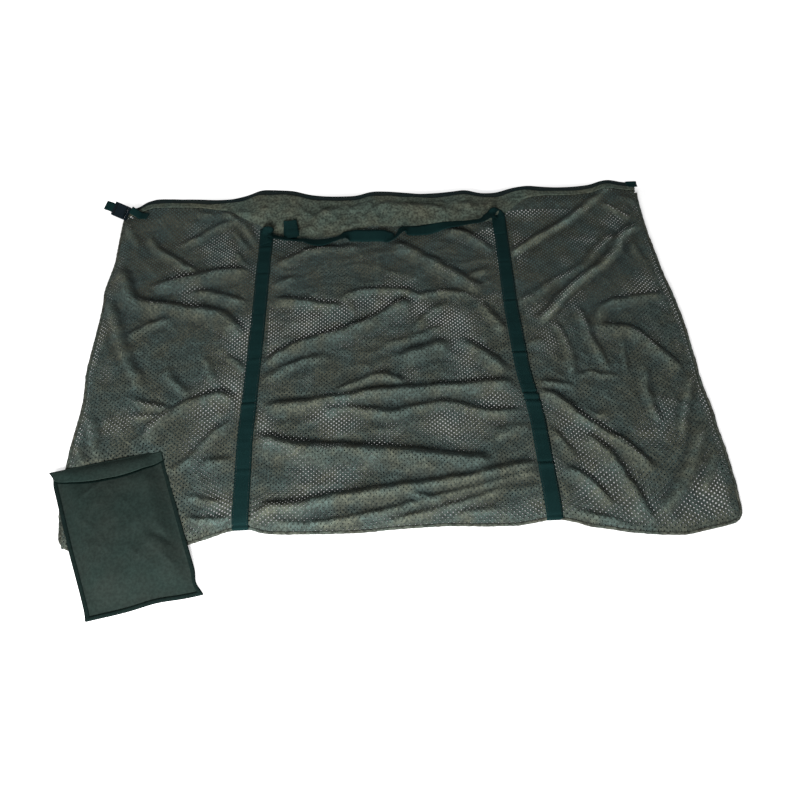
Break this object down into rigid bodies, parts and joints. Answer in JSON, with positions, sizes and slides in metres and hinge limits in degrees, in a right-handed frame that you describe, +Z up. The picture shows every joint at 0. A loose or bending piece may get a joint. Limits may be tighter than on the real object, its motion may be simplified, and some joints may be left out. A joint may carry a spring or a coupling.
{
  "type": "carp sack",
  "caption": "Wide zipped sack of perforated net cloth that holds a landed carp, with webbing carrying handles, a side-release clip at the zip and a flat storage pouch.",
  "frame": {"origin": "middle of the sack's back panel, on the ground it lies on", "axes": "+X along the zip towards the end tab, away from the clip; +Y from the bottom edge to the zip; +Z up"},
  "size_m": [1.5512, 1.1718, 0.0498],
  "materials": {
    "net_cloth": "soft perforated net cloth",
    "hem_cloth": "plain woven cloth",
    "webbing": "flat woven webbing",
    "zip_tape": "woven tape",
    "zip_teeth": "moulded, slightly glossy",
    "black_metal": "black coated, satin",
    "clip_plastic": "moulded, satin",
    "pouch_nylon": "coated nylon, slight sheen",
    "pouch_binding_cloth": "woven binding",
    "hook_and_loop": "hook and loop strip"
  },
  "bodies": {
    "sack": {"front_panel": "net_cloth", "back_panel": "net_cloth", "left_side_seam": "hem_cloth", "right_side_seam": "hem_cloth", "bottom_seam": "hem_cloth", "front_hem": "hem_cloth", "back_hem": "hem_cloth", "zip_tape_front": "zip_tape", "zip_tape_back": "zip_tape", "zip_teeth_front": "zip_teeth", "zip_teeth_back": "zip_teeth", "zip_top_stop_front": "black_metal", "zip_top_stop_back": "black_metal", "zip_bottom_stop": "black_metal", "zip_end_tab": "webbing", "clip_male": "clip_plastic", "clip_male_loop": "webbing", "front_strap_left": "webbing", "front_strap_right": "webbing", "back_strap_left": "webbing", "back_strap_right": "webbing"},
    "slider": {"zip_slider": "black_metal"},
    "puller": {"zip_puller": "black_metal"},
    "clip_shell": {"clip_female": "clip_plastic", "clip_female_tab": "webbing"},
    "prong_front": {"clip_prong_front": "clip_plastic"},
    "prong_back": {"clip_prong_back": "clip_plastic"},
    "front_grip": {"front_handle": "webbing"},
    "back_grip": {"back_handle": "webbing"},
    "pouch": {"pouch_back": "pouch_nylon", "pouch_front": "pouch_nylon", "pouch_binding_left": "pouch_binding_cloth", "pouch_binding_right": "pouch_binding_cloth", "pouch_binding_bottom": "pouch_binding_cloth", "pouch_loop_tape": "hook_and_loop"},
    "flap": {"pouch_flap": "pouch_nylon", "pouch_hook_tape": "hook_and_loop"}
  },
  "joints": [
    {"name": "zip_run", "type": "slide", "parent": "sack", "child": "slider", "axis": [1, 0, 0], "range_m": [0, 1.427]},
    {"name": "puller_turn", "type": "hinge", "parent": "slider", "child": "puller", "pos_m": [-0.71, 0.5028, 0.00605], "axis": [0, 0, -1], "range_deg": [0, 170]},
    {"name": "clip_release", "type": "slide", "parent": "sack", "child": "clip_shell", "axis": [-0.8988, 0.3973, 0.1853], "range_m": [0, 0.04]},
    {"name": "prong_front_press", "type": "hinge", "parent": "sack", "child": "prong_front", "pos_m": [-0.74893, 0.45774, 0.02678], "axis": [0, 0.4226, -0.9063], "range_deg": [0, 8], "stiffness_Nm_per_rad": 0.05},
    {"name": "prong_back_press", "type": "hinge", "parent": "sack", "child": "prong_back", "pos_m": [-0.73561, 0.4825, 0.03833], "axis": [0, -0.4226, 0.9063], "range_deg": [0, 8], "stiffness_Nm_per_rad": 0.05},
    {"name": "front_handle_lift", "type": "hinge", "parent": "sack", "child": "front_grip", "pos_m": [0, 0.4229, 0.0113], "axis": [-1, 0, 0], "range_deg": [0, 120]},
    {"name": "back_handle_lift", "type": "hinge", "parent": "sack", "child": "back_grip", "pos_m": [0, 0.4229, 0.0008], "axis": [1, 0, 0], "range_deg": [0, 90]},
    {"name": "pouch_lift", "type": "slide", "parent": "sack", "child": "pouch", "axis": [0, 0, 1], "range_m": [0, 0.15]},
    {"name": "flap_open", "type": "hinge", "parent": "pouch", "child": "flap", "pos_m": [-0.6633, -0.3036, 0.012], "axis": [-0.9781, -0.2079, 0], "range_deg": [0, 140]}
  ],
  "couplings": [
    {"joint": "prong_back_press", "follows": "prong_front_press", "ratio": 1}
  ]
}
